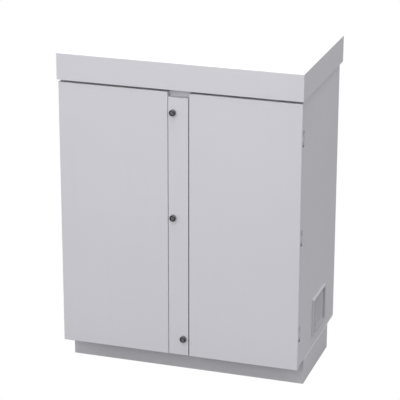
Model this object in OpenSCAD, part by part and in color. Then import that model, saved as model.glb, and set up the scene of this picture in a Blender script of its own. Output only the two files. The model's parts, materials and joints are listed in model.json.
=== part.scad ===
// Roadside utility cabinet with two doors, a central lock post and a cap roof.
// The origin is on the ground, under the middle of the roof: X runs to the right of
// someone facing the doors, Y runs from the doors to the back, and Z is up. Millimetres.

/* [Body] */
// Width across the side panels
body_w = 1000; // [800:10:1300]
// Depth from the front frame to the back of the rear panel
body_d = 557; // [450:1:700]
// Height over the roof
cabinet_h = 1335; // [1050:5:1700]
// Sheet thickness of the body panels
panel_t = 2; // [1.5:0.5:3]
// Outer radius of a folded corner of the body
bend_r = 4; // [3:0.5:5]
// Width of the flange beside each door opening, where the door seal lands
jamb_w = 65; // [55:1:80]
// Width of the side panels' rear flange
rear_flange_w = 25; // [20:1:40]
// Sheet thickness of the floor plate
floor_t = 3; // [2:0.5:4]

/* [Roof] */
// Height of the roof's skirt
roof_h = 110; // [90:5:150]
// Overhang of the roof beyond each side panel
roof_side = 5; // [4:1:20]
// Overhang of the roof beyond the doors
roof_front = 3; // [3:1:20]
// Overhang of the roof beyond the rear panel
roof_rear = 33; // [15:1:60]
// Sheet thickness of the roof
roof_t = 2; // [1.5:0.5:3]
// Air space between the top panel and the roof
roof_air = 48; // [40:1:60]
// Gap between the doors and the roof
eaves_gap = 10; // [6:1:20]

/* [Plinth] */
// Height of the plinth
plinth_h = 110; // [80:5:160]
// Setback of the plinth behind the door faces
plinth_front = 107; // [60:1:140]
// Setback of the plinth from the rear panel
plinth_rear = 87; // [20:1:140]
// Setback of the plinth from each side panel
plinth_side = 3; // [2:1:20]
// Sheet thickness of the plinth
plinth_t = 3; // [2:0.5:5]
// Width of the flanges around the plinth's top and bottom
plinth_flange = 45; // [40:1:60]
// Radius of the ground bolt holes
ground_hole_r = 7; // [5:0.5:10]

/* [Doors] */
// Depth of the doors, from the face to the back of the folded edge
door_depth = 24; // [22:1:30]
// Gap between a door's folded edge and the body
door_gap = 3; // [3:0.5:6]
// Sheet thickness of the doors
door_t = 2; // [1.5:0.5:2.5]
// Outer radius of the doors' folded edges
door_r = 3; // [2.5:0.5:4]
// How far the doors reach down over the plinth line
door_drop = 5; // [0:1:20]
// Gap between the left door and the lock post
left_gap = 1.5; // [1:0.5:5]
// Gap between the right door and the lock post
right_gap = 3.5; // [1:0.5:5]
// Width of the stiffening frame inside each door
stiffener_w = 25; // [20:1:35]
// Distance from a door's hinge edge to its stiffening frame
stiffener_hinge_inset = 38; // [36:1:50]
// Distance from a door's other edges to its stiffening frame
stiffener_inset = 22; // [20:1:30]
// Sheet thickness of the stiffening frame
stiffener_t = 1.5; // [1:0.5:2]
// Width of the door seal
seal_w = 14; // [10:1:18]
// Free height of the door seal
seal_h = 5; // [4:0.5:8]

/* [Lock post] */
// Width of the lock post between the doors
post_w = 83.5; // [80:0.5:120]
// Offset of the lock post from the middle, towards the right
post_shift = -0.5; // [-5:0.5:5]
// How far the post's face lies behind the door faces
post_recess = 2; // [1:0.5:6]
// How far the post stops below the doors' top edges
post_short = 21; // [10:1:60]
// Sheet thickness of the lock post
post_t = 2; // [1.5:0.5:3]
// Radius of the studs that hold the lock post
stud_r = 4; // [3:0.5:5]
// Width of the mullion behind the lock post
mullion_w = 190; // [185:1:230]
// Depth of the folded edges of the mullion and the rails
rail_d = 25; // [20:1:40]
// Height of the rail under the door openings
bottom_rail_h = 50; // [46:1:80]
// How far the top rail reaches down behind the doors' top edges
top_rail_lap = 55; // [50:1:80]

/* [Locks] */
// Distance of each lock from the post's centre line
lock_offset = 21; // [20:0.5:26]
// Top lock below the doors' top edges
lock_top_drop = 81.5; // [60:0.5:200]
// Middle lock above the middle of the doors
lock_middle_rise = 37; // [0:0.5:100]
// Bottom lock above the doors' bottom edges
lock_bottom_rise = 73.5; // [60:0.5:200]
// Radius of the lock's outer collar
lock_r = 13; // [12:0.5:16]
// How far the lock stands out from the post
lock_proud = 13; // [6:0.5:16]
// Radius of the lock's barrel
barrel_r = 9; // [8:0.5:10]
// Radius of the turning plug
plug_r = 7; // [6:0.5:7.5]
// Distance from the lock's axis to the tip of its cam
cam_reach = 38; // [37:0.5:42]
// Width of the cam
cam_w = 16; // [14:1:20]
// Thickness of the cam
cam_t = 3; // [2:0.5:4]

/* [Hinges] */
// Distance from a door's top and bottom edges to the outer hinges
hinge_end = 147; // [100:1:200]
// Height of the opening in the door edge at each hinge
hinge_slot_h = 66; // [50:1:90]
// Radius of the hinge pins
pin_r = 3; // [2.5:0.5:3.5]
// Distance from the side of the door to the pin
pin_inset = 5; // [5:0.5:7]
// Distance from the back of the door's folded edge to the pin
pin_forward = 6; // [6:0.5:8]
// Height of the middle knuckle
knuckle_h = 18; // [12:1:30]
// Thickness of the lugs that hold the pin
lug_t = 3; // [3:0.5:5]
// Thickness of the hinge plates
hinge_t = 4; // [3:0.5:5]
// Radial clearance of the hinge pins and lock plugs
run_clear = 0.05; // [0.03:0.01:0.1]

/* [Vent] */
// Length of the vent cover along the side panel
vent_w = 200; // [160:1:240]
// Height of the vent cover
vent_h = 162; // [140:1:200]
// Distance of the vent cover behind the front frame
vent_back = 189; // [100:1:220]
// Height of the vent cover above the floor plate
vent_up = 51; // [40:1:120]
// How far the vent cover stands out
vent_proud = 8; // [5:1:12]
// Bevel along the front and rear edges of the vent cover
vent_bevel_w = 14; // [8:1:20]
// Bevel along the top and bottom edges of the vent cover
vent_bevel_h = 5; // [3:1:12]
// Width of the vent cover's flat rim
vent_rim = 6; // [4:1:10]
// Thickness of the vent mesh
mesh_t = 1.5; // [1:0.5:2]

/* [Inside] */
// Gap between the equipment board and each side panel
board_side = 68; // [40:1:120]
// Distance from the rear panel to the back of the equipment board
board_back = 73; // [50:1:120]
// Height of the equipment board's lower edge over the floor plate
board_up = 117; // [80:1:200]
// Distance from the equipment board's upper edge to the top panel
board_down = 103; // [80:1:200]
// Thickness of the equipment board
board_t = 2; // [1.5:0.5:4]
// Width of the uprights behind the equipment board
upright_w = 40; // [30:1:60]
// Length of the earth bar
earth_bar_l = 500; // [300:10:560]
// Number of terminals on the earth bar
earth_terminals = 10; // [4:1:12]
// Length of the cable opening in the floor plate
gland_l = 420; // [200:10:500]
// Width of the cable opening in the floor plate
gland_w = 100; // [60:5:130]

/* [Hidden] */
$fn = 48;

// Clearance around the shank of a bolt or screw
bolt_clear = 0.25;
// Extra length of a cutting solid, so that it passes right through
cut = 1;
// Working gap between a seal and the face that it lands on
seal_gap = 0.3;

// Heights
z_floor = plinth_h + floor_t;
z_roof = cabinet_h - roof_h;
z_door0 = plinth_h - door_drop;
z_door1 = z_roof - eaves_gap;
z_top = cabinet_h - roof_t - roof_air;
z_side = z_top - panel_t;
side_h = z_side - z_floor;
door_h = z_door1 - z_door0;
z_middle = (z_door0 + z_door1) / 2;

// Depths
roof_w = body_w + 2 * roof_side;
roof_d = roof_front + door_depth + door_gap + body_d + roof_rear;
y_door = -roof_d / 2 + roof_front;
y_edge = y_door + door_depth;
y_frame = y_edge + door_gap;
y_back = y_frame + body_d;

// Plinth
plinth_w = body_w - 2 * plinth_side;
y_plinth = y_door + plinth_front;
plinth_d = y_back - plinth_rear - y_plinth;
plinth_bolt_x = plinth_w / 2 - 67;
floor_bolt_r = 5;

// Doors: the X of each free edge, measured from the middle
post_left = post_w / 2 - post_shift;
post_right = post_w / 2 + post_shift;
left_free = post_left + left_gap;
right_free = post_right + right_gap;

// Hinges
pin_x = body_w / 2 - pin_inset;
pin_y = y_edge - pin_forward;
knuckle_r = pin_inset - 0.1;
notch_d = 12;
notch_w = 11;
hinge_slot_front = door_depth - pin_forward - pin_inset - 1;
hinge_z = [z_door1 - hinge_end, z_middle, z_door0 + hinge_end];
leaf_x = body_w / 2 - panel_t - hinge_t;

// Lock post
y_post = y_door + post_recess;
post_h = door_h - post_short;
post_d = y_frame - y_post;
post_bend_r = 2.5;
stud_low = z_floor + bottom_rail_h + 2 * stud_r;
stud_high = z_door1 - top_rail_lap - 2 * stud_r;
stud_z = [for (i = [0 : 3]) stud_low + i * (stud_high - stud_low) / 3];

// Locks: the plug's shank and the cam lie behind the barrel
lock_x = [post_shift - lock_offset, post_shift - lock_offset, post_shift + lock_offset];
lock_z = [z_door1 - lock_top_drop, z_middle + lock_middle_rise, z_door0 + lock_bottom_rise];
barrel_l = 11;
lock_chamfer = 1;
plug_sink = 1.5;
key_slot_turn = 37;
key_slot_w = 2.6;
key_slot_d = 5;
cam_depth = barrel_l + 1;
shank_w = 8;
shank_l = cam_t + 2;
lock_nut_t = 4;
lock_nut_r = 13.5;
cam_slot_clear = 1.5;

// Vent
vent_y = y_frame + vent_back;
vent_z = z_floor + vent_up;
mesh_lap = 6;
mesh_clear = 0.5;
mesh_pitch = 14;
mesh_hole_r = 5.5;
vent_window_w = vent_w - 2 * (vent_bevel_w + vent_rim);
vent_window_h = vent_h - 2 * (vent_bevel_h + vent_rim);
panel_window_w = vent_window_w - 28;
panel_window_h = vent_window_h - 20;

// Inside
board_w = body_w - 2 * (panel_t + board_side);
upright_lap = 10;
z_board0 = z_floor + board_up;
z_board1 = z_side - board_down;
y_board = y_back - board_back - board_t;
upright_x = board_w / 2 - upright_w + upright_lap;
upright_d = 40;
cable_rail_l = board_w - 60;
cable_rail_h = 30;
cable_rail_d = 18;
cable_rail_up = 35;
cable_rail_slot = 12;
earth_bar_h = 25;
earth_bar_t = 5;
earth_bar_up = 110;
earth_bar_z = z_board0 + earth_bar_up + earth_bar_h / 2;
earth_post_l = 14;
y_earth = y_board - earth_post_l - earth_bar_t;
earth_post_inset = 20;
earth_bolt_r = 3;
gland_lap = 20;
gland_t = 2;
small_screw_r = 2.5;
board_screw_r = 3;
vent_screw_r = 1.5;
roof_bolt_r = 5;
roof_bolt_in = 60;
roof_bolt_side = 30;
rear_screw_in = 40;
board_screw_in = 40;
air_slot_l = 60;
air_slot_w = 8;
air_slot_pitch = 80;
air_slot_y = 150;

STEEL = "#c3c2c6";
LIGHT = "#cdcdd0";
ZINC = "#a9adb2";
DARK = "#4b4b4e";
COPPER = "#b4704a";

// ---- Shared shapes ----

// The corner that a fold of radius r takes off a square corner at the origin
module corner_waste(r) {
    difference() {
        translate([-cut, -cut]) square(r + cut);
        translate([r, r]) circle(r);
    }
}

// A rectangle whose two corners on y = 0 are rounded
module folded_outline(w, d, r) {
    difference() {
        square([w, d]);
        corner_waste(r);
        translate([w, 0]) mirror([1, 0]) corner_waste(r);
    }
}

// A channel section: web on y = 0, with a flange at each end
module channel_section(w, d1, d2, t, r) {
    difference() {
        folded_outline(w, max(d1, d2), r);
        translate([t, t]) folded_outline(w - 2 * t, max(d1, d2), r - t);
        translate([-cut, d1]) square([w / 2 + cut, max(d1, d2) - d1 + cut]);
        translate([w / 2, d2]) square([w / 2 + cut, max(d1, d2) - d2 + cut]);
    }
}

// A block with its face on y = 0, and a fold radius along all four edges of that face
module folded_block(w, h, d, r) {
    intersection() {
        linear_extrude(h) folded_outline(w, d, r);
        rotate([90, 0, 90]) linear_extrude(w) translate([0, h]) rotate(-90) folded_outline(h, d, r);
    }
}

// A sheet tray: face on y = 0, open towards +Y
module tray(w, h, d, t, r) {
    difference() {
        folded_block(w, h, d, r);
        translate([t, t, t]) folded_block(w - 2 * t, h - 2 * t, d, r - t);
    }
}

// A rectangular ring in the XZ plane, from y = 0 to y = d
module ring(w, h, d, bar) {
    difference() {
        cube([w, d, h]);
        translate([bar, -cut, bar]) cube([w - 2 * bar, d + 2 * cut, h - 2 * bar]);
    }
}

// Turns a shape that stands on z = 0 so that it points at the doors' side
module facing_front() {
    rotate([90, 0, 0]) children();
}

// A right-hand piece as it is, or mirrored for the left
module on_side(left) {
    if (left) mirror([1, 0, 0]) children();
    else children();
}

// A clearance hole for a bolt of radius r through a sheet of thickness t that stands on z = 0
module bolt_hole(r, t) {
    translate([0, 0, -cut]) cylinder(h = t + 2 * cut, r = r + bolt_clear);
}

// A hexagon bolt with its head on z = 0 and its shank pointing down
module hex_bolt(r, l) {
    cylinder(h = 1.3 * r, r = 1.9 * r, $fn = 6);
    translate([0, 0, -l]) cylinder(h = l + cut, r = r);
}

// A pan-head screw with its head on z = 0 and its shank pointing down
module pan_screw(r, l) {
    difference() {
        cylinder(h = 1.1 * r, r1 = 2 * r, r2 = 1.5 * r);
        translate([0, 0, 0.5 * r]) cylinder(h = r, r = 0.9 * r, $fn = 6);
    }
    translate([0, 0, -l]) cylinder(h = l + 0.2 * r, r = r);
}

// ---- Where things repeat ----

module at_plinth_bolts(z) {
    for (x = [-1, 1], y = [y_plinth + plinth_flange / 2, y_plinth + plinth_d - plinth_flange / 2])
        translate([x * plinth_bolt_x, y, z]) children();
}

module at_gland_screws() {
    for (x = [-1, 0, 1], y = [-1, 1])
        translate([x * (gland_l + gland_lap) / 2, y_plinth + plinth_d / 2 + y * (gland_w + gland_lap) / 2, 0])
            translate([0, 0, z_floor]) children();
}

module at_rear_screws() {
    pitch = (side_h - 2 * rear_screw_in) / 4;
    for (x = [-1, 1], i = [0 : 4])
        translate([x * (body_w / 2 - rear_flange_w / 2), y_back, z_floor + rear_screw_in + i * pitch])
            rotate([-90, 0, 0]) children();
}

module at_roof_bolts(z) {
    for (x = [-1, 1], y = [y_frame + roof_bolt_in, y_back - roof_bolt_in])
        translate([x * (body_w / 2 - roof_bolt_side), y, z]) children();
}

module at_post_studs() {
    for (z = stud_z) translate([post_shift, 0, z]) children();
}

module at_board_screws() {
    pitch = (z_board1 - z_board0 - 2 * board_screw_in) / 2;
    for (x = [-1, 1], i = [0 : 2])
        translate([x * (upright_x + upright_w / 2), y_board, z_board0 + board_screw_in + i * pitch])
            facing_front() children();
}

module at_vent_screws() {
    for (y = [0, 1], z = [0, 1])
        translate([body_w / 2 + vent_proud,
            vent_y + vent_bevel_w + vent_rim / 2 + y * (vent_window_w + vent_rim),
            vent_z + vent_bevel_h + vent_rim / 2 + z * (vent_window_h + vent_rim)])
            rotate([0, 90, 0]) children();
}

module at_lock(i) {
    translate([lock_x[i], y_post, lock_z[i]]) facing_front() children();
}

// ---- Plinth and floor ----

module plinth() {
    color(STEEL) difference() {
        translate([-plinth_w / 2, y_plinth, plinth_h]) rotate([-90, 0, 0])
            folded_block(plinth_w, plinth_d, plinth_h, bend_r);
        translate([-plinth_w / 2 + plinth_t, y_plinth + plinth_t, plinth_t])
            cube([plinth_w - 2 * plinth_t, plinth_d - 2 * plinth_t, plinth_h - 2 * plinth_t]);
        translate([-plinth_w / 2 + plinth_flange, y_plinth + plinth_flange, -cut])
            cube([plinth_w - 2 * plinth_flange, plinth_d - 2 * plinth_flange, plinth_h + 2 * cut]);
        at_plinth_bolts(0) bolt_hole(ground_hole_r - bolt_clear, plinth_t);
        at_plinth_bolts(plinth_h - plinth_t) bolt_hole(floor_bolt_r, plinth_t);
    }
}

module floor_plate() {
    color(ZINC) difference() {
        translate([-plinth_w / 2, y_frame + panel_t, plinth_h])
            cube([plinth_w, body_d - 3 * panel_t, floor_t]);
        translate([-gland_l / 2, y_plinth + (plinth_d - gland_w) / 2, plinth_h - cut])
            cube([gland_l, gland_w, floor_t + 2 * cut]);
        at_plinth_bolts(plinth_h) bolt_hole(floor_bolt_r, floor_t);
        at_gland_screws() translate([0, 0, -floor_t]) bolt_hole(small_screw_r, floor_t);
    }
}

module floor_bolts() {
    color(ZINC) at_plinth_bolts(z_floor) hex_bolt(floor_bolt_r, floor_t + plinth_t + 8);
}

module gland_plate() {
    color(ZINC) difference() {
        translate([-gland_l / 2 - gland_lap, y_plinth + (plinth_d - gland_w) / 2 - gland_lap, z_floor])
            cube([gland_l + 2 * gland_lap, gland_w + 2 * gland_lap, gland_t]);
        at_gland_screws() bolt_hole(small_screw_r, gland_t);
    }
}

module gland_plate_screws() {
    color(ZINC) at_gland_screws() translate([0, 0, gland_t]) pan_screw(small_screw_r, 8);
}

// ---- Body ----

// A side panel: web on the outside, a jamb flange in front and a flange behind
module side_panel() {
    difference() {
        translate([body_w / 2, y_frame, z_floor]) rotate([0, 0, 90]) linear_extrude(side_h)
            channel_section(body_d - panel_t, jamb_w, rear_flange_w, panel_t, bend_r);
        for (z = hinge_z)
            translate([body_w / 2 - notch_w, y_frame - cut, z - hinge_slot_h / 2])
                cube([notch_w + cut, notch_d + cut, hinge_slot_h]);
        at_rear_screws() translate([0, 0, -2 * panel_t]) bolt_hole(small_screw_r, panel_t);
    }
}

module left_side_panel() {
    color(LIGHT) mirror([1, 0, 0]) side_panel();
}

module right_side_panel() {
    color(LIGHT) difference() {
        side_panel();
        translate([body_w / 2 - panel_t, vent_y + vent_w / 2, vent_z + vent_h / 2])
            translate([-cut, -panel_window_w / 2, -panel_window_h / 2])
                cube([panel_t + 2 * cut, panel_window_w, panel_window_h]);
        at_vent_screws() translate([0, 0, -vent_proud - panel_t]) bolt_hole(vent_screw_r, panel_t);
    }
}

module rear_panel() {
    color(LIGHT) difference() {
        translate([-body_w / 2 + 1, y_back - panel_t, z_floor]) cube([body_w - 2, panel_t, side_h]);
        at_rear_screws() translate([0, 0, -panel_t]) bolt_hole(small_screw_r, panel_t);
    }
}

module rear_panel_screws() {
    color(ZINC) at_rear_screws() pan_screw(small_screw_r, 9);
}

// A rail across the front frame, between the side panels' jamb flanges
module front_rail(h) {
    translate([-body_w / 2 + jamb_w, y_frame, 0]) rotate([90, 0, 90]) linear_extrude(body_w - 2 * jamb_w)
        translate([0, h]) rotate(-90) channel_section(h, rail_d, rail_d, panel_t, bend_r);
}

module top_rail() {
    color(LIGHT) translate([0, 0, z_door1 - top_rail_lap]) front_rail(z_side - z_door1 + top_rail_lap);
}

module bottom_rail() {
    color(LIGHT) translate([0, 0, z_floor]) front_rail(bottom_rail_h);
}

module centre_mullion() {
    color(LIGHT) difference() {
        translate([-mullion_w / 2, y_frame, z_floor + bottom_rail_h])
            linear_extrude(z_door1 - top_rail_lap - z_floor - bottom_rail_h)
                channel_section(mullion_w, rail_d, rail_d, panel_t, bend_r);
        at_post_studs() translate([0, y_frame, 0]) rotate([-90, 0, 0]) bolt_hole(stud_r, panel_t);
    }
}

module top_panel() {
    color(ZINC) difference() {
        translate([-body_w / 2, y_frame, z_side]) cube([body_w, body_d, panel_t]);
        for (y = [-1, 1], i = [-4 : 4])
            translate([i * air_slot_pitch, (y_frame + y_back) / 2 + y * air_slot_y, z_side + panel_t / 2])
                cube([air_slot_l, air_slot_w, panel_t + 2 * cut], center = true);
        at_roof_bolts(z_side) bolt_hole(roof_bolt_r, panel_t);
    }
}

// ---- Roof ----

module roof() {
    color("#e9e9ea") translate([-roof_w / 2, -roof_d / 2, cabinet_h]) rotate([-90, 0, 0])
        tray(roof_w, roof_d, roof_h, roof_t, bend_r);
}

module roof_spacers() {
    color(ZINC) at_roof_bolts(z_top) difference() {
        cylinder(h = roof_air, r = 2.4 * roof_bolt_r);
        bolt_hole(roof_bolt_r, roof_air - 8);
    }
}

module roof_bolts() {
    color(ZINC) at_roof_bolts(z_side) mirror([0, 0, 1]) hex_bolt(roof_bolt_r, panel_t + 30);
}

// ---- Lock post ----

// The slot that a cam swings through, in the post and in the door edge
module cam_slot(i, depth) {
    translate([0, y_post + cam_depth - cam_slot_clear, lock_z[i] - cam_reach])
        cube([depth, cam_t + 2 * cam_slot_clear, cam_reach + cam_w / 2 + cam_slot_clear]);
}

module lock_post() {
    color(LIGHT) {
        difference() {
            translate([-post_left, y_post, z_door0]) tray(post_w, post_h, post_d, post_t, post_bend_r);
            for (i = [0 : 2]) at_lock(i) translate([0, 0, -post_t]) bolt_hole(barrel_r, post_t);
            for (i = [0, 1]) translate([-post_left - cut, 0, 0]) cam_slot(i, post_t + 2 * cut);
            translate([post_right - post_t - cut, 0, 0]) cam_slot(2, post_t + 2 * cut);
        }
        at_post_studs() translate([0, y_post + post_t, 0]) rotate([-90, 0, 0])
            cylinder(h = post_d - post_t + panel_t + 12, r = stud_r);
    }
}

module lock_post_nuts() {
    color(ZINC) at_post_studs() translate([0, y_frame + panel_t, 0]) rotate([-90, 0, 0]) difference() {
        cylinder(h = 1.6 * stud_r, r = 1.9 * stud_r, $fn = 6);
        translate([0, 0, -cut]) cylinder(h = 1.6 * stud_r + 2 * cut, r = stud_r + run_clear);
    }
}

// ---- Inside ----

module upright() {
    difference() {
        translate([upright_x, y_board + board_t, z_floor]) linear_extrude(side_h)
            channel_section(upright_w, upright_d, upright_d, panel_t, bend_r);
        at_board_screws() translate([0, 0, -board_t - panel_t]) bolt_hole(board_screw_r, panel_t);
    }
}

module left_upright() {
    color(ZINC) mirror([1, 0, 0]) upright();
}

module right_upright() {
    color(ZINC) upright();
}

module equipment_board() {
    color(ZINC) difference() {
        translate([-board_w / 2, y_board, z_board0]) cube([board_w, board_t, z_board1 - z_board0]);
        at_board_screws() translate([0, 0, -board_t]) bolt_hole(board_screw_r, board_t);
    }
}

module board_screws() {
    color(ZINC) at_board_screws() pan_screw(board_screw_r, board_t + panel_t + 6);
}

// A slotted rail to tie the incoming cables to
module cable_rail() {
    lip = (cable_rail_h - cable_rail_slot) / 2;
    color(ZINC) translate([-cable_rail_l / 2, y_board - cable_rail_d, z_board0 + cable_rail_up])
        rotate([90, 0, 90]) linear_extrude(cable_rail_l) difference() {
            square([cable_rail_d, cable_rail_h]);
            translate([panel_t, panel_t]) square([cable_rail_d - 2 * panel_t, cable_rail_h - 2 * panel_t]);
            translate([-cut, lip]) square([panel_t + 2 * cut, cable_rail_slot]);
        }
}

module at_earth_posts(y) {
    for (x = [-1, 1])
        translate([x * (earth_bar_l / 2 - earth_post_inset), y, earth_bar_z]) facing_front() children();
}

module at_earth_terminals() {
    pitch = (earth_bar_l - 4 * earth_post_inset) / earth_terminals;
    for (i = [0 : earth_terminals - 1])
        translate([(i - (earth_terminals - 1) / 2) * pitch, y_earth, earth_bar_z]) facing_front() children();
}

module earth_bar() {
    color(COPPER) difference() {
        translate([-earth_bar_l / 2, y_earth, earth_bar_z - earth_bar_h / 2])
            cube([earth_bar_l, earth_bar_t, earth_bar_h]);
        at_earth_posts(y_board - earth_post_l) bolt_hole(earth_bolt_r, earth_bar_t);
        at_earth_terminals() translate([0, 0, -earth_bar_t]) bolt_hole(earth_bolt_r, earth_bar_t);
    }
}

// Insulating posts with a stud that holds the earth bar
module earth_bar_posts() {
    color("#8d3b2e") at_earth_posts(y_board) {
        cylinder(h = earth_post_l, r = 9);
        cylinder(h = earth_post_l + earth_bar_t + 2, r = earth_bolt_r);
    }
}

module earth_bar_screws() {
    color(ZINC) at_earth_terminals() hex_bolt(earth_bolt_r, earth_bar_t + 4);
}

// ---- Vent ----

// A block the size of the cover's window, grown by lap on every side, from the panel outwards
module vent_window(lap, depth) {
    translate([body_w / 2 - cut, vent_y + vent_w / 2, vent_z + vent_h / 2])
        translate([0, -vent_window_w / 2 - lap, -vent_window_h / 2 - lap])
            cube([depth + cut, vent_window_w + 2 * lap, vent_window_h + 2 * lap]);
}

// The cover's outline in one direction: its height at the panel is w, and each end slopes in by bevel
module bevelled_edge(w, bevel) {
    polygon([[0, 0], [vent_proud, bevel], [vent_proud, w - bevel], [0, w]]);
}

module vent_cover() {
    color(LIGHT) difference() {
        intersection() {
            translate([body_w / 2, vent_y, vent_z]) linear_extrude(vent_h)
                bevelled_edge(vent_w, vent_bevel_w);
            translate([body_w / 2, vent_y + vent_w, vent_z]) rotate([90, 0, 0]) linear_extrude(vent_w)
                bevelled_edge(vent_h, vent_bevel_h);
        }
        vent_window(0, vent_proud + cut);
        vent_window(mesh_lap, mesh_t);
        at_vent_screws() translate([0, 0, -vent_proud]) bolt_hole(vent_screw_r, vent_proud);
    }
}

// A plate with staggered square holes that stand on their corners
module vent_mesh() {
    mesh_w = vent_window_w + 2 * (mesh_lap - mesh_clear);
    mesh_h = vent_window_h + 2 * (mesh_lap - mesh_clear);
    columns = floor((panel_window_w - mesh_hole_r) / mesh_pitch);
    rows = floor((panel_window_h - mesh_hole_r) / mesh_pitch);
    color(ZINC) difference() {
        translate([body_w / 2, vent_y + (vent_w - mesh_w) / 2, vent_z + (vent_h - mesh_h) / 2])
            rotate([90, 0, 90]) linear_extrude(mesh_t) difference() {
                square([mesh_w, mesh_h]);
                for (i = [-columns / 2 : columns / 2], j = [0 : rows])
                    translate([mesh_w / 2 + (i + (j % 2) / 2) * mesh_pitch - mesh_pitch / 4,
                        mesh_h / 2 + (j - rows / 2) * mesh_pitch / 1.2]) circle(r = mesh_hole_r, $fn = 4);
            }
        at_vent_screws() translate([0, 0, -vent_proud]) bolt_hole(vent_screw_r, mesh_t);
    }
}

module vent_screws() {
    color(ZINC) at_vent_screws() pan_screw(vent_screw_r, vent_proud + panel_t + 3);
}

// ---- Doors ----

// A door whose free edge is at x = free, with its hinge edge at the right
module door(free, locks) {
    w = body_w / 2 - free;
    difference() {
        translate([free, y_door, z_door0]) tray(w, door_h, door_depth, door_t, door_r);
        for (z = hinge_z)
            translate([body_w / 2 - door_t - cut, y_door + hinge_slot_front, z - hinge_slot_h / 2])
                cube([door_t + 2 * cut, door_depth, hinge_slot_h]);
        for (i = locks) translate([free - cut, 0, 0]) cam_slot(i, door_t + 2 * cut);
    }
}

module left_door() {
    color(LIGHT) mirror([1, 0, 0]) door(left_free, [0, 1]);
}

module right_door() {
    color(LIGHT) door(right_free, [2]);
}

// Where a door's stiffening frame starts, and its size
function frame_x0(free) = free + stiffener_inset;
function frame_w(free) = body_w / 2 - stiffener_hinge_inset - frame_x0(free);
frame_z0 = z_door0 + stiffener_inset;
frame_h = door_h - 2 * stiffener_inset;
frame_d = door_depth + door_gap - door_t - seal_h - seal_gap;

module door_frame(free) {
    t = stiffener_t;
    w = frame_w(free);
    translate([frame_x0(free), y_door + door_t, frame_z0]) difference() {
        ring(w, frame_h, frame_d, stiffener_w);
        translate([t, -cut, t]) ring(w - 2 * t, frame_h - 2 * t, frame_d - t + cut, stiffener_w - 2 * t);
    }
}

module left_door_frame() {
    color(ZINC) mirror([1, 0, 0]) door_frame(left_free);
}

module right_door_frame() {
    color(ZINC) door_frame(right_free);
}

module door_seal(free) {
    inset = (stiffener_w - seal_w) / 2;
    translate([frame_x0(free) + inset, y_door + door_t + frame_d, frame_z0 + inset])
        ring(frame_w(free) - 2 * inset, frame_h - 2 * inset, seal_h, seal_w);
}

module left_door_seal() {
    color(DARK) mirror([1, 0, 0]) door_seal(left_free);
}

module right_door_seal() {
    color(DARK) door_seal(right_free);
}

// ---- Hinges ----

// The body's half: a plate inside the side panel, with the middle knuckle
module body_hinge(level) {
    plate_l = 40;
    plate_h = hinge_slot_h - 10;
    plate_y = y_frame + bend_r + 1;
    translate([0, 0, hinge_z[level]]) difference() {
        union() {
            translate([pin_x, pin_y, -knuckle_h / 2]) cylinder(h = knuckle_h, r = knuckle_r);
            translate([leaf_x, pin_y, -knuckle_h / 2]) cube([hinge_t, plate_y - pin_y + cut, knuckle_h]);
            translate([leaf_x, plate_y, -plate_h / 2]) cube([hinge_t, plate_l, plate_h]);
        }
        translate([pin_x, pin_y, -knuckle_h]) cylinder(h = 2 * knuckle_h, r = pin_r + run_clear);
    }
}

// The door's half: a plate on the inside of the door face, with a lug at each end of the slot
module door_hinge(level) {
    lug_x = body_w / 2 - door_r - 0.1;
    lug_w = 10;
    plate_t = 3;
    plate_w = 30;
    plate_h = hinge_slot_h + 16;
    translate([0, 0, hinge_z[level]]) {
        for (s = [0, 1]) mirror([0, 0, s]) difference() {
            translate([0, 0, hinge_slot_h / 2 - lug_t]) linear_extrude(lug_t - 0.1) {
                translate([lug_x - lug_w, y_door + door_t]) square([lug_w, pin_y - y_door - door_t]);
                translate([pin_x, pin_y]) circle(pin_inset - 0.1);
            }
            translate([pin_x, pin_y, 0]) cylinder(h = hinge_slot_h, r = pin_r + run_clear);
        }
        translate([lug_x - plate_w, y_door + door_t, -plate_h / 2]) cube([plate_w, plate_t, plate_h]);
    }
}

module hinge_pins() {
    for (z = hinge_z)
        translate([pin_x, pin_y, z - hinge_slot_h / 2 + 0.2]) cylinder(h = hinge_slot_h - 0.4, r = pin_r);
}

module left_top_body_hinge() { color(LIGHT) on_side(true) body_hinge(0); }
module left_middle_body_hinge() { color(LIGHT) on_side(true) body_hinge(1); }
module left_bottom_body_hinge() { color(LIGHT) on_side(true) body_hinge(2); }
module right_top_body_hinge() { color(LIGHT) on_side(false) body_hinge(0); }
module right_middle_body_hinge() { color(LIGHT) on_side(false) body_hinge(1); }
module right_bottom_body_hinge() { color(LIGHT) on_side(false) body_hinge(2); }
module left_top_door_hinge() { color(LIGHT) on_side(true) door_hinge(0); }
module left_middle_door_hinge() { color(LIGHT) on_side(true) door_hinge(1); }
module left_bottom_door_hinge() { color(LIGHT) on_side(true) door_hinge(2); }
module right_top_door_hinge() { color(LIGHT) on_side(false) door_hinge(0); }
module right_middle_door_hinge() { color(LIGHT) on_side(false) door_hinge(1); }
module right_bottom_door_hinge() { color(LIGHT) on_side(false) door_hinge(2); }
module left_hinge_pins() { color(ZINC) on_side(true) hinge_pins(); }
module right_hinge_pins() { color(ZINC) on_side(false) hinge_pins(); }

// ---- Locks ----

module lock_housing(i) {
    color("#77777a") at_lock(i) rotate_extrude() polygon([
        [plug_r + run_clear, -barrel_l], [barrel_r, -barrel_l], [barrel_r, 0], [lock_r, 0],
        [lock_r, lock_proud - lock_chamfer], [lock_r - lock_chamfer, lock_proud], [plug_r + run_clear, lock_proud]]);
}

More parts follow.
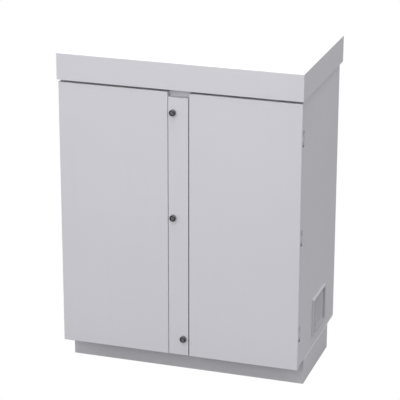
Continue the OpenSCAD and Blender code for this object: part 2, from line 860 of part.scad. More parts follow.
// The turning plug: a round body with a key slot across its face
module lock_plug(i) {
    face = lock_proud - plug_sink;
    color(DARK) at_lock(i) {
        difference() {
            translate([0, 0, -cam_depth]) cylinder(h = cam_depth + face, r = plug_r);
            rotate(key_slot_turn) translate([-plug_r - cut, -key_slot_w / 2, face - key_slot_d])
                cube([2 * (plug_r + cut), key_slot_w, key_slot_d + cut]);
        }
        translate([-shank_w / 2, -shank_w / 2, -cam_depth - shank_l]) cube([shank_w, shank_w, shank_l + cut]);
    }
}

// The cam hangs down when the lock is open
module lock_cam(i) {
    hole_w = shank_w + 0.2;
    color(ZINC) at_lock(i) translate([0, 0, -cam_depth - cam_t]) linear_extrude(cam_t) difference() {
        union() {
            circle(r = shank_w);
            translate([-cam_w / 2, -cam_reach]) square([cam_w, cam_reach]);
        }
        square(hole_w, center = true);
    }
}

module lock_nuts() {
    color(ZINC) for (i = [0 : 2]) at_lock(i) translate([0, 0, -post_t - lock_nut_t]) difference() {
        cylinder(h = lock_nut_t, r = lock_nut_r, $fn = 6);
        translate([0, 0, -cut]) cylinder(h = lock_nut_t + 2 * cut, r = barrel_r + run_clear);
    }
}

module top_lock_housing() { lock_housing(0); }
module middle_lock_housing() { lock_housing(1); }
module bottom_lock_housing() { lock_housing(2); }
module top_lock_plug() { lock_plug(0); }
module middle_lock_plug() { lock_plug(1); }
module bottom_lock_plug() { lock_plug(2); }
module top_lock_cam() { lock_cam(0); }
module middle_lock_cam() { lock_cam(1); }
module bottom_lock_cam() { lock_cam(2); }

plinth();
floor_plate();
floor_bolts();
gland_plate();
gland_plate_screws();
left_side_panel();
right_side_panel();
rear_panel();
rear_panel_screws();
top_rail();
bottom_rail();
centre_mullion();
top_panel();
roof();
roof_spacers();
roof_bolts();
lock_post();
lock_post_nuts();
left_upright();
right_upright();
equipment_board();
board_screws();
cable_rail();
earth_bar();
earth_bar_posts();
earth_bar_screws();
vent_cover();
vent_mesh();
vent_screws();
left_door();
right_door();
left_door_frame();
right_door_frame();
left_door_seal();
right_door_seal();
left_top_body_hinge();
left_middle_body_hinge();
left_bottom_body_hinge();
right_top_body_hinge();
right_middle_body_hinge();
right_bottom_body_hinge();
left_top_door_hinge();
left_middle_door_hinge();
left_bottom_door_hinge();
right_top_door_hinge();
right_middle_door_hinge();
right_bottom_door_hinge();
left_hinge_pins();
right_hinge_pins();
top_lock_housing();
middle_lock_housing();
bottom_lock_housing();
lock_nuts();
top_lock_plug();
middle_lock_plug();
bottom_lock_plug();
top_lock_cam();
middle_lock_cam();
bottom_lock_cam();
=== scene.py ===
"""Roadside utility cabinet: the visible sheet-metal pieces, their finishes and a small studio.

Every length is in metres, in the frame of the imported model: +Z up, +X to the right of someone who
faces the doors, +Y from the doors to the rear panel.
"""
import json
import math

import bmesh
import bpy
import numpy as np
from bpy.props import FloatProperty, FloatVectorProperty, PointerProperty
from bpy.types import Operator, Panel, PropertyGroup
from mathutils import Matrix, Vector


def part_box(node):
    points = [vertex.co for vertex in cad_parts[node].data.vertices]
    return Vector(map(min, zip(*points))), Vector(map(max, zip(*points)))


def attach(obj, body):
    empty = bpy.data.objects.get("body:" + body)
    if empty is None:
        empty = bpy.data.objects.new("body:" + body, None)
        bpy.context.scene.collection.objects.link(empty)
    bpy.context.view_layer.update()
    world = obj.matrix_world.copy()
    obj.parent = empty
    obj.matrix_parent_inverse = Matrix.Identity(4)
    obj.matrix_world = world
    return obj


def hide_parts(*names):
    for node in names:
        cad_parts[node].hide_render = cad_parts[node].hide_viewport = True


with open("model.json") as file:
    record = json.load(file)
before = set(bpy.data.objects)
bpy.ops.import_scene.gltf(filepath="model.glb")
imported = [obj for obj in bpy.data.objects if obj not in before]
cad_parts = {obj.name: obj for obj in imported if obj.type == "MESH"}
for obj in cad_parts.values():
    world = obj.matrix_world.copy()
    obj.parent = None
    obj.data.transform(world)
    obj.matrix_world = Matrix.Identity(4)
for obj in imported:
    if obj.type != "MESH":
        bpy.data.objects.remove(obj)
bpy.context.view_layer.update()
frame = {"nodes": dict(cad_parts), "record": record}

bl_info = {
    "name": "Roadside Utility Cabinet",
    "version": (1, 0, 0),
    "blender": (4, 5, 0),
    "location": "View3D > Sidebar > Cabinet",
    "description": "Builds a steel street cabinet's skins, locks, vent and fasteners on its CAD frame",
    "category": "Add Mesh",
}

SLOT_OF = {part["node"]: part["material_slot"] for part in frame["record"]["subparts"]}
BODY_OF = {n: body for body, nodes in frame["record"]["behaviour"]["bodies"].items() for n in nodes}

SIDES = ("left", "right")
LEVELS = ("top", "middle", "bottom")
HELD_DOOR = {"top": "left", "middle": "left", "bottom": "right"}

QUARTER_TURN = np.linspace(0, math.pi / 2, 7)
FRONT_AXES = ((1, 0, 0), (0, 0, 1), (0, 1, 0), (0, 0, 0))  # outlines in XZ, stood at depths along Y
PAINT = (0.60, 0.594, 0.628)
THREAD_PITCH = 0.00125
SMALL_EDGE, BEAD_EDGE = 0.0003, 0.0002  # rounding of fittings' edges and of the edges of beads
HAIR = 0.0001  # how far a piece stays off, or sinks into, the face that it sits on
CAM_ROOM = 0.0015  # clear space round a cam in its slots
HINGE_ROOM = 0.033  # half the height of the openings at a hinge
HINGE_NOTCH = (0.011, 0.012)  # width and depth of a side panel's notch at a hinge
HINGE_SLOT = (0.012, 0.030)  # depths between which a door's return is open at a hinge
WINDOW_INSET = (0.034, 0.021)  # from the vent cover's edges to the panel's window
POST_SPARE = 0.0005  # how much narrower the post's skin is than in the CAD
REAR_FLANGE = 0.025  # width of a side panel's flange at the rear
SEAL_WIDTH, SEAL_CORNER = 0.014, 0.018
STUD_RADIUS, STUD_SUNK = 0.004, 0.020  # a post stud, and how far it starts in front of the mullion
SLOTTED_FIELD = (0.1325, 0.1205)  # width and height that the vent's slots may take
LOCK_BARREL, LOCK_BORE, LOCK_PLUG = 0.0089, 0.0073, 0.0070  # radii
LOCK_RIM, LOCK_SUNK = 0.0013, 0.0009  # width of a collar's rim, and depth of the face inside it
PLUG_SQUARE = (0.004, 0.006)  # half width and length of a plug's square tail
PIN_RADIUS = 0.003
BEAD = 0.0027  # how far a sealant bead stands out from the plinth's end
SILL_HALF = 0.474  # half the length of the seal behind the floor plate
FLOOR_HALF, FLOOR_DROP = 30.0, 0.0005

# Inset along and up from the cover's outline, and height off the panel
VENT_FRAME = ((0.0, 0.0, 0.0), (0.0003, 0.0002, 0.0020), (0.0012, 0.0010, 0.0046), (0.0030, 0.0026, 0.0068),
              (0.0058, 0.0046, 0.0080), (0.0192, 0.0103, 0.0080), (0.0200, 0.0110, 0.0073),
              (0.0200, 0.0110, 0.0016))
VENT_CORNER = 0.002
# The same, with each outline's corner radius
VENT_TRIM = ((0.0182, 0.0100, 0.0080, 0.0070), (0.0185, 0.0101, 0.0084, 0.0068),
             (0.0206, 0.0117, 0.0084, 0.0030), (0.0216, 0.0123, 0.0076, 0.0030),
             (0.0262, 0.0150, 0.0020, 0.0030), (0.0262, 0.0150, 0.0016, 0.0030),
             (0.0201, 0.0111, 0.0016, 0.0019), (0.0201, 0.0111, 0.0080, 0.0019))

# The sides of an outline, in order
RIGHT, TOP, LEFT, BOTTOM = range(4)


# ---- Surfaces ----

def rounded_outline(box, radius, inset=0.0, stations=((), (), (), ()), arc=5):
    """Anticlockwise rounded rectangle (a, b).

    Each corner is centre + r (cos t, sin t) with t over a quarter turn, and r = radius - inset. The
    sides run right, top, left, bottom, and each also holds its stations, given along that side.
    """
    a0, a1, b0, b1 = box[0] + inset, box[1] - inset, box[2] + inset, box[3] - inset
    r = max(radius - inset, 0.0)
    turn = np.linspace(0, math.pi / 2, arc + 1)
    along = (np.sort(stations[RIGHT]), np.sort(stations[TOP])[::-1],
             np.sort(stations[LEFT])[::-1], np.sort(stations[BOTTOM]))
    sides = [np.column_stack((np.full(len(s), at), s)[::1 if upright else -1])
             for s, at, upright in zip(along, (a1, b1, a0, b0), (True, False, True, False))]
    centres = ((a1 - r, b1 - r), (a0 + r, b1 - r), (a0 + r, b0 + r), (a1 - r, b0 + r))
    parts = []
    for k in range(4):
        t = turn + k * math.pi / 2
        parts += [sides[k], np.array(centres[k]) + r * np.column_stack((np.cos(t), np.sin(t)))]
    return np.vstack(parts)


def stand(flat, depth, axes):
    """Places outline points (a, b) at a depth: a·axis0 + b·axis1 + depth·axis2 + origin."""
    a, b, d, origin = (np.array(v, float) for v in axes)
    return flat[:, :1] * a + flat[:, 1:2] * b + depth * d + origin


def grid_faces(rows, cols, wrap, keep=None):
    """Quads of a rows x cols grid of points: (k, i), (k+1, i), (k+1, i+1), (k, i+1)."""
    k, i = np.meshgrid(np.arange(rows - 1), np.arange(cols if wrap else cols - 1), indexing="ij")
    j = (i + 1) % cols
    quads = np.stack((k * cols + i, (k + 1) * cols + i, (k + 1) * cols + j, k * cols + j), axis=-1)
    return quads[keep] if keep is not None else quads.reshape(-1, 4)


def fold_rings(radius, depths):
    """(inset, depth) of a folded edge: inset = r - r sin t, depth = r - r cos t, then straight down."""
    arc = np.column_stack((radius - radius * np.sin(QUARTER_TURN), radius - radius * np.cos(QUARTER_TURN)))
    return [tuple(p) for p in arc] + [(0.0, d) for d in depths]


def turned(rings, centre, axis, steps=48, hollow=False):
    """Turned or many-sided surface about an axis, closed at both ends, or a ring if it is hollow.

    Each ring is (radius, height), or (radius, height, n) for one with n sides. A point is
    centre + height·axis + R(t) (cos t·u + sin t·v), where R = radius, or for n sides
    R = radius cos(pi/n) / cos((t mod 2pi/n) - pi/n).
    """
    axis = np.array(axis, float)
    u = np.array((0.0, 0.0, 1.0)) if abs(axis[2]) < 0.5 else np.array((1.0, 0.0, 0.0))
    v = np.cross(axis, u)
    t = np.linspace(0, 2 * math.pi, steps, endpoint=False)
    rows = []
    rings = list(rings) + list(rings[:1] if hollow else [])
    for radius, height, *sides in rings:
        r = np.full(steps, radius)
        if sides:
            step = 2 * math.pi / sides[0]
            r = radius * math.cos(step / 2) / np.cos(np.mod(t, step) - step / 2)
        rows.append(np.array(centre) + height * axis + r[:, None] * (
            np.cos(t)[:, None] * u + np.sin(t)[:, None] * v))
    points = np.vstack(rows)
    n = len(rings)
    faces = [tuple(f) for f in grid_faces(n, steps, True)[:, ::-1]]
    if not hollow:
        faces += [tuple(range(steps))[::-1], tuple((n - 1) * steps + i for i in range(steps))]
    return points, faces


def ring_stack(loops, closed=False):
    """Quads from each outline to the next one, and from the last to the first if closed."""
    loops = list(loops) + (list(loops[:1]) if closed else [])
    return np.vstack(loops), [tuple(f) for f in grid_faces(len(loops), len(loops[0]), True)]


def bar(section, start, end, axes):
    """A prism: the closed section (a, b) stood at the depths start and end, with both ends closed."""
    n = len(section)
    points, faces = ring_stack([stand(np.array(section), depth, axes) for depth in (start, end)])
    return points, faces + [tuple(range(n))[::-1], tuple(range(n, 2 * n))]


def framed(box, profile, x, closed=False):
    """A frame on the YZ plane at x: outlines of the box, one for each (inset y, inset z, height, corner)."""
    y0, y1, z0, z1 = box
    axes = ((0, 1, 0), (0, 0, 1), (1, 0, 0), (x, 0, 0))
    return ring_stack([stand(rounded_outline((y0 + a, y1 - a, z0 + b, z1 - b), corner), up, axes)
                       for a, b, up, corner in profile], closed)


def half_disc(radius, gap):
    """One side of a slotted disc: r (cos t, sin t), t from asin(gap / r) to pi - asin(gap / r)."""
    start = math.asin(gap / radius)
    t = np.linspace(start, math.pi - start, 24)
    return radius * np.column_stack((np.cos(t), np.sin(t)))


def together(shapes):
    """One list of points and faces from several, with each one's indices moved along."""
    points, faces, start = [], [], 0
    for p, f in shapes:
        points.append(p)
        faces += [tuple(int(i) + start for i in face) for face in f]
        start += len(p)
    return np.vstack(points), faces


def folded_tray(box, radius, corner, depths, axes, stations=((), (), (), ()), openings=()):
    """A face with folded edges and returns, as rings of outlines: see rounded_outline and fold_rings.

    An opening (side, from, to, depth0, depth1) leaves out the cells of a return between two stations
    and two depths.
    """
    rings = fold_rings(radius, depths)
    loops = [rounded_outline(box, corner, inset, stations) for inset, _ in rings]
    points = np.vstack([stand(loop, depth, axes) for loop, (_, depth) in zip(loops, rings)])
    cols = len(loops[0])
    edge = loops[-1]
    middle = (edge + np.roll(edge, -1, axis=0)) / 2
    deep = (np.array([d for _, d in rings[:-1]]) + np.array([d for _, d in rings[1:]])) / 2
    keep = np.ones((len(rings) - 1, cols), bool)
    limits = (box[1], box[3], box[0], box[2])
    for side, lo, hi, d0, d1 in openings:
        along, across = (1, 0) if side in (RIGHT, LEFT) else (0, 1)
        here = np.abs(middle[:, across] - limits[side]) < 1e-4
        here &= (middle[:, along] > lo) & (middle[:, along] < hi)
        keep &= ~((deep > d0) & (deep < d1))[:, None] | ~here[None, :]
    faces = [tuple(f) for f in grid_faces(len(rings), cols, True, keep)]
    faces.append(tuple(range(cols)))
    return points, faces


def slotted_tray(box, face, last, cuts, radius, corner):
    """A tray in XZ, folded back from y = face to the depth last. A cut is as folded_tray's openings."""
    stations = [[], [], [], []]
    for side, low, high, _, _ in cuts:
        stations[side] += [low, high]
    depths = sorted({last, *(round(d, 6) for cut in cuts for d in cut[3:] if d < last)})
    return folded_tray(box, radius, corner, depths, (*FRONT_AXES[:3], (0, face, 0)), stations, cuts)


def carried_section(section, heights, keep):
    """An open section (x, y) carried up z: point (k, i) = (section i, heights k), with the cells to keep."""
    k, i = len(heights), len(section)
    points = np.empty((k, i, 3))
    points[:, :, :2] = section[None]
    points[:, :, 2] = np.asarray(heights)[:, None]
    return points.reshape(-1, 3), [tuple(f) for f in grid_faces(k, i, False, keep)]


def perforated_sheet(area, field, x, sheet, pitch, slot):
    """A sheet in the YZ plane with staggered round-ended slots, closed all round.

    area is (y0, y1, z0, z1), and field is the width and height that the slots may take in its middle.
    Each cell is pitch wide and high, and every other row is half a cell along. A cell's twelve edge
    points join twelve points of its slot: cell centre + (±a, 0), (±(a - b), ±b), (0, ±b) and the round
    ends' middles, with a and b the slot's half length and half height. Front, bore and back are rings
    of such points. Half cells without a slot close the rows' ends, and a rim joins the whole to the
    sheet's outline.
    """
    y0, y1, z0, z1 = area
    wide, high = pitch
    cols, rows = int(field[0] / wide - 0.5), int(field[1] / high)
    left, low = (y0 + y1) / 2 - (cols + 0.5) * wide / 2, (z0 + z1) / 2 - rows * high / 2
    row, col = np.meshgrid(np.arange(rows), np.arange(cols), indexing="ij")
    centres = np.stack((left + (col + 0.5 + 0.5 * (row % 2)) * wide, low + (row + 0.5) * high), axis=-1)
    a, b = slot[0] / 2, slot[1] / 2
    edge = np.array([(2, 0), (2, 2), (1, 2), (0, 2), (-1, 2), (-2, 2)]) / 4 * pitch
    diagonal = 0.71  # cos and sin of the round end's middle point
    end = a - (1 - diagonal) * b
    bore = np.array([(a, 0), (end, diagonal * b), (a - b, b), (0, b), (b - a, b), (-end, diagonal * b)])
    rings = [np.vstack((ring, -ring)) for ring in (edge, bore, bore, edge)]
    cells = np.stack([centres.reshape(-1, 1, 2) + ring for ring in rings], axis=1)
    rises = np.array((sheet, sheet, 0, 0))[None, :, None, None]
    heights = np.broadcast_to(rises + x, cells.shape[:3] + (1,))
    slots = np.concatenate((heights, cells), axis=3).reshape(-1, 3)
    one = grid_faces(4, 12, True)[None, :, ::-1]
    quads = (one + (np.arange(rows * cols) * 4 * 12)[:, None, None]).reshape(-1, 4)

    ends = np.where(np.arange(rows) % 2, left, left + cols * wide)
    starts = np.stack((ends, low + np.arange(rows) * high), axis=1)
    outline = np.array([(0, 0), (1, 0), (2, 0), (2, 1), (2, 2), (1, 2), (0, 2), (0, 1)])
    flat = (starts[:, None, :] + outline * (wide / 4, high / 2)).reshape(-1, 2)
    order = np.arange(rows)[:, None] * 8
    plugs = [(np.column_stack((np.full(len(flat), x + up), flat)), order + np.arange(8)[::way])
             for up, way in ((sheet, 1), (0.0, -1))]

    ys, zs = left + np.arange(4 * cols + 3) * wide / 4, low + np.arange(2 * rows + 1) * high / 2
    stations = (zs[1:-1], ys[1:-1], zs[1:-1], ys[1:-1])
    axes = ((0, 1, 0), (0, 0, 1), (1, 0, 0), (x, 0, 0))
    slotted = (ys[0], ys[-1], zs[0], zs[-1])
    rim = ring_stack([stand(rounded_outline(box, 0.0, stations=stations, arc=1), up, axes)
                      for box, up in ((slotted, 0.0), (area, 0.0), (area, sheet), (slotted, sheet))])
    return together([(slots, quads), *plugs, rim])


# ---- Pieces ----

def new_piece(name, shape, body, slot, replaces=(), smooth=True, outward=False, shade=""):
    """Makes a mesh object from points and faces, merges points that meet, and ties it to its body."""
    points, faces = shape
    mesh = bpy.data.meshes.new(name)
    mesh.from_pydata(points, [], faces)
    bm = bmesh.new()
    bm.from_mesh(mesh)
    bmesh.ops.remove_doubles(bm, verts=bm.verts, dist=1e-6)
    if outward:
        bmesh.ops.recalc_face_normals(bm, faces=bm.faces)
    bm.to_mesh(mesh)
    bm.free()
    return settle(name, mesh, body, slot, replaces, smooth, shade)


def settle(name, mesh, body, slot, replaces, smooth=True, shade=""):
    """Puts a mesh in the scene as a piece, with its finish and its ties to the CAD's frame."""
    mesh.validate()
    mesh.polygons.foreach_set("use_smooth", np.full(len(mesh.polygons), smooth))
    piece = bpy.data.objects.new(name, mesh)
    bpy.context.scene.collection.objects.link(piece)
    mesh.materials.append(finish(shade or slot))
    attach(piece, body)
    if replaces:
        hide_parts(*replaces)
    return piece


def dress(piece, sheet=0.0, edge=0.0):
    """Gives a skin its sheet thickness, rounds its sharp edges, and lets large faces set the normals."""
    if sheet:
        wall = piece.modifiers.new("Sheet", "SOLIDIFY")
        wall.thickness, wall.offset, wall.use_even_offset = sheet, -1, True
    if edge:
        bevel = piece.modifiers.new("Edges", "BEVEL")
        bevel.width, bevel.segments, bevel.limit_method = edge, 2, "ANGLE"
        bevel.angle_limit = math.radians(35)
        bevel.use_clamp_overlap = True
    normals = piece.modifiers.new("Normals", "WEIGHTED_NORMAL")
    normals.mode, normals.weight = "FACE_AREA", 90
    return piece


def copied(node, edge):
    """The CAD node's own shape with its triangles merged to faces and its edges rounded."""
    name = node + "_part"
    mesh = frame["nodes"][node].data.copy()
    mesh.name = name
    mesh.materials.clear()
    bm = bmesh.new()
    bm.from_mesh(mesh)
    bmesh.ops.remove_doubles(bm, verts=bm.verts, dist=2e-6)
    bmesh.ops.dissolve_limit(bm, angle_limit=math.radians(0.8), verts=bm.verts, edges=bm.edges)
    bm.to_mesh(mesh)
    bm.free()
    if mesh.has_custom_normals:
        mesh.attributes.remove(mesh.attributes["custom_normal"])
    return dress(settle(name, mesh, BODY_OF[node], SLOT_OF[node], (node,)), edge=edge)


def corners_of(node, margins, counts):
    """Centres of the like parts in a node, spread evenly over its box, each axis with its margin."""
    lo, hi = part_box(node)
    axes = [np.linspace(lo[i] + margins[i], hi[i] - margins[i], counts[i]) if counts[i] > 1
            else [(lo[i] + hi[i]) / 2] for i in range(3)]
    return np.stack(np.meshgrid(*axes, indexing="ij"), axis=-1).reshape(-1, 3)


def hinge_spans(side):
    """The heights (low, high) of the openings at a side's three hinges."""
    boxes = [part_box(f"{side}_{level}_body_hinge") for level in LEVELS]
    return [((lo.z + hi.z) / 2 - HINGE_ROOM, (lo.z + hi.z) / 2 + HINGE_ROOM) for lo, hi in boxes]


def cam_cut(level, side, face):
    """The opening that a lock's cam swings through, in the given side of a tray whose face is at y = face."""
    lo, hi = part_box(level + "_lock_cam")
    return side, lo.z - CAM_ROOM, hi.z + CAM_ROOM, lo.y - CAM_ROOM - face, hi.y + CAM_ROOM - face


def pan_head(radius, height):
    """Rings of a domed screw head with a six-sided recess."""
    t = np.linspace(0, math.pi / 2, 6)
    dome = [(radius * (0.62 + 0.38 * math.cos(a)), height * (0.25 + 0.75 * math.sin(a))) for a in t]
    well = [(radius * 0.5, height), (radius * 0.46, height * 0.9, 6), (radius * 0.44, height * 0.4, 6)]
    return [(radius * 0.96, 0), (radius, height * 0.06)] + dome + well


def hex_nut(radius, height, bore):
    """Rings of a nut with both faces chamfered, and a hollow crown round its stud."""
    return [(bore, 0), (radius * 0.82, 0), (radius * 0.96, height * 0.1, 6), (radius, height * 0.18, 6),
            (radius, height * 0.82, 6), (radius * 0.96, height * 0.9, 6), (radius * 0.82, height),
            (bore * 1.15, height), (bore, height * 0.93)]


def thread(radius, end):
    """Rings of a screw thread: the radius swings between crest and root once each pitch."""
    z = np.arange(0.0, end, THREAD_PITCH / 2)
    r = np.where(np.arange(len(z)) % 2, radius, radius * 0.9)
    return [*zip(r, z), (radius * 0.75, end)]


def pin_rings(half):
    """Rings of a hinge pin with rounded ends, from -half to half."""
    end = ((PIN_RADIUS - 0.0014, 0.0), (PIN_RADIUS - 0.0004, 0.0004), (PIN_RADIUS, 0.001))
    return [(r, up - half) for r, up in end] + [(r, half - up) for r, up in end[::-1]]


def collar_rings(radius, proud, barrel):
    """Rings of a lock's collar: barrel, back face, side, rim, sunk face and bore."""
    rim = radius - LOCK_RIM
    return [(LOCK_BARREL, barrel), (LOCK_BARREL, -HAIR), (radius - 0.0003, 0.0), (radius, 0.0004),
            (radius, proud - 0.0013), (radius - 0.0003, proud - 0.0006), (radius - 0.0009, proud - 0.0002),
            (radius - 0.0012, proud - 0.0002), (rim, proud - LOCK_SUNK), (0.0079, proud - LOCK_SUNK),
            (0.0074, proud - 0.0020), (LOCK_BORE, proud * 0.5)]


def face_rings(radius, proud):
    """Rings of the dark ring that lies in a collar's sunk face."""
    rim, inner, foot, shoulder = radius - LOCK_RIM, 0.0080, proud - LOCK_SUNK, proud - 0.0004
    return [(inner, foot), (inner, shoulder), (inner + 0.0004, proud), (rim - 0.0004, proud),
            (rim, shoulder), (rim, foot)]


def plug_rings(back, floor):
    """Rings of a lock's plug: a square tail that carries the cam, then a round body."""
    half, tail = PLUG_SQUARE
    return [(half, back, 4), (half, back + tail, 4), (LOCK_PLUG - 0.0002, back + tail + 0.0002),
            (LOCK_PLUG, floor - 0.0002), (LOCK_PLUG - 0.0002, floor)]


# ---- Finishes ----

def put(tree, kind, props=None, **inputs):
    """Adds a node. Inputs are values or sockets, by name with _ for a space, or by number as i0, i1."""
    n = tree.nodes.new("ShaderNode" + kind)
    for key, value in (props or {}).items():
        setattr(n, key, value)
    for key, value in inputs.items():
        numbered = key[0] == "i" and key[1:].isdigit()
        socket = n.inputs[int(key[1:]) if numbered else key.replace("_", " ")]
        if isinstance(value, bpy.types.NodeSocket):
            tree.links.new(value, socket)
        else:
            socket.default_value = value
    return n


def wire(tree, node, **sockets):
    """Links sockets to a node's inputs, by name with _ for a space."""
    for key, socket in sockets.items():
        tree.links.new(socket, node.inputs[key.replace("_", " ")])


def group(name, inputs, outputs):
    """A new shader node group, the sockets that it is given, and its output node."""
    tree = bpy.data.node_groups.new(name, "ShaderNodeTree")
    kinds = {"c": "NodeSocketColor", "f": "NodeSocketFloat"}
    for label, kind, default in inputs:
        socket = tree.interface.new_socket(name=label, in_out="INPUT", socket_type=kinds[kind])
        socket.default_value = default
    for label, kind in outputs:
        tree.interface.new_socket(name=label, in_out="OUTPUT", socket_type=kinds[kind])
    return tree, tree.nodes.new("NodeGroupInput").outputs, tree.nodes.new("NodeGroupOutput")


def shared(build):
    """A shader node group, made by its builder the first time that it is asked for."""
    name = build.__name__
    return bpy.data.node_groups.get(name) or build(name)


def noise(tree, scale, detail, stretch=(1, 1, 1)):
    """Noise over a piece's own coordinates, 0 to 1."""
    place = put(tree, "TexCoord").outputs["Object"]
    if stretch != (1, 1, 1):
        place = put(tree, "Mapping", Vector=place, Scale=stretch).outputs[0]
    return put(tree, "TexNoise", Vector=place, Scale=scale, Detail=detail).outputs[0]


def ranged(tree, value, low, high, from_low=0.3, from_high=0.7):
    """A value moved from one range to another. Noise lies mostly between 0.3 and 0.7."""
    return put(tree, "MapRange", i0=value, i1=from_low, i2=from_high, i3=low, i4=high).outputs[0]


def calc(tree, operation, *values):
    numbered = {f"i{k}": value for k, value in enumerate(values)}
    return put(tree, "Math", {"operation": operation}, **numbered).outputs[0]


def toned(tree, colour, tone):
    """A colour times a number."""
    return put(tree, "VectorMath", {"operation": "SCALE"}, i0=colour, Scale=tone).outputs[0]


def powder_coat(name):
    """Stoved powder coat: tone drifts over a panel, and the film has a fine orange peel."""
    tree, given, out = group(
        name, [("Colour", "c", (0.6, 0.6, 0.6, 1)), ("Drift", "f", 0.02), ("Satin", "f", 0.5)],
        [("Colour", "c"), ("Roughness", "f"), ("Peel", "f")])
    drift = calc(tree, "MULTIPLY_ADD", ranged(tree, noise(tree, 2.4, 3), -1.0, 1.0), given["Drift"], 1.0)
    grain = ranged(tree, noise(tree, 900, 2), 0.985, 1.015)
    tone = calc(tree, "MULTIPLY", drift, grain)
    rough = calc(tree, "ADD", given["Satin"], ranged(tree, noise(tree, 14, 3), -0.05, 0.05))
    peel = calc(tree, "ADD", noise(tree, 420, 1), calc(tree, "MULTIPLY", noise(tree, 1600, 1), 0.35))
    wire(tree, out, Colour=toned(tree, given["Colour"], tone), Roughness=rough, Peel=peel)
    return tree


def street_dust(name):
    """Thin road dust: a splash band near the ground, and faint runs down upright faces."""
    tree, given, out = group(
        name, [("Colour", "c", (0.6, 0.6, 0.6, 1)), ("Dust", "c", (0.42, 0.39, 0.35, 1)),
               ("Amount", "f", 0.1), ("Splash Height", "f", 0.2)], [("Colour", "c"), ("Mask", "f")])
    place = put(tree, "TexCoord").outputs["Object"]
    height = put(tree, "SeparateXYZ", i0=place).outputs["Z"]
    low = put(tree, "MapRange", {"interpolation_type": "SMOOTHSTEP"}, i0=height, i1=given["Splash Height"],
              i2=0.0, i3=0.0, i4=1.0).outputs[0]
    splash = calc(tree, "MULTIPLY", low, ranged(tree, noise(tree, 38, 5), 0.3, 1.0))
    runs = ranged(tree, noise(tree, 1.0, 4, (34, 34, 1.6)), 0.0, 0.5, 0.52, 0.75)
    mask = calc(tree, "MULTIPLY", calc(tree, "MAXIMUM", splash, runs), given["Amount"])
    mixed = put(tree, "Mix", {"data_type": "RGBA"}, i0=mask, i6=given["Colour"], i7=given["Dust"])
    wire(tree, out, Colour=mixed.outputs[2], Mask=mask)
    return tree


def bare_metal(name):
    """Bare or plated metal: crystal patches of slightly different tone, and fine drawn scratches."""
    tree, given, out = group(
        name, [("Colour", "c", (0.6, 0.6, 0.6, 1)), ("Patch Scale", "f", 90.0), ("Patch", "f", 0.1),
               ("Satin", "f", 0.4)], [("Colour", "c"), ("Roughness", "f"), ("Grain", "f")])
    place = put(tree, "TexCoord").outputs["Object"]
    cells = put(tree, "TexVoronoi", Vector=place, Scale=given["Patch Scale"])
    patch = put(tree, "SeparateColor", i0=cells.outputs["Color"]).outputs[0]
    tone = calc(tree, "MULTIPLY_ADD", ranged(tree, patch, -1.0, 1.0, 0.0, 1.0), given["Patch"], 1.0)
    scratch = noise(tree, 1.0, 3, (1400, 60, 60))
    uneven = calc(tree, "ADD", ranged(tree, patch, -0.07, 0.07, 0.0, 1.0), ranged(tree, scratch, -0.05, 0.05))
    rough = calc(tree, "ADD", given["Satin"], uneven)
    wire(tree, out, Colour=toned(tree, given["Colour"], tone), Roughness=rough, Grain=scratch)
    return tree


def blank(name):
    """A new material, its node tree and its shader."""
    mat = bpy.data.materials.new(name)
    mat.use_nodes = True
    tree = mat.node_tree
    return mat, tree, next(n for n in tree.nodes if n.type == "BSDF_PRINCIPLED")


def painted(name, colour, drift, satin, dust, peel):
    """Powder coat with road dust on it, which is rougher where the dust lies."""
    mat, tree, shader = blank(name)
    coat = put(tree, "Group", {"node_tree": shared(powder_coat)}, Colour=colour, Drift=drift, Satin=satin)
    dirt = put(tree, "Group", {"node_tree": shared(street_dust)}, Colour=coat.outputs["Colour"],
               Amount=dust)
    rough = calc(tree, "MULTIPLY_ADD", dirt.outputs["Mask"], 0.4, coat.outputs["Roughness"])
    bump = put(tree, "Bump", Strength=peel, Distance=0.0001, Height=coat.outputs["Peel"])
    wire(tree, shader, Base_Color=dirt.outputs["Colour"], Roughness=rough, Normal=bump.outputs[0])
    shader.inputs["Specular IOR Level"].default_value = 0.25
    return mat


def metallic(name, colour, patch_scale, patch, satin, grain):
    """Bare or plated metal."""
    mat, tree, shader = blank(name)
    metal = put(tree, "Group", {"node_tree": shared(bare_metal)}, Colour=colour, Patch_Scale=patch_scale,
                Patch=patch, Satin=satin)
    bump = put(tree, "Bump", Strength=grain, Distance=0.00005, Height=metal.outputs["Grain"])
    wire(tree, shader, Base_Color=metal.outputs["Colour"], Roughness=metal.outputs["Roughness"],
         Normal=bump.outputs[0])
    shader.inputs["Metallic"].default_value = 1.0
    return mat


def moulded(name, colour, rough, scale, strength):
    """Moulded rubber or resin: an even colour with a fine skin texture."""
    mat, tree, shader = blank(name)
    coat = put(tree, "Group", {"node_tree": shared(powder_coat)}, Colour=colour, Drift=0.08, Satin=rough)
    bump = put(tree, "Bump", Strength=strength, Distance=0.0002, Height=noise(tree, scale, 3))
    wire(tree, shader, Base_Color=coat.outputs["Colour"], Roughness=coat.outputs["Roughness"],
         Normal=bump.outputs[0])
    return mat


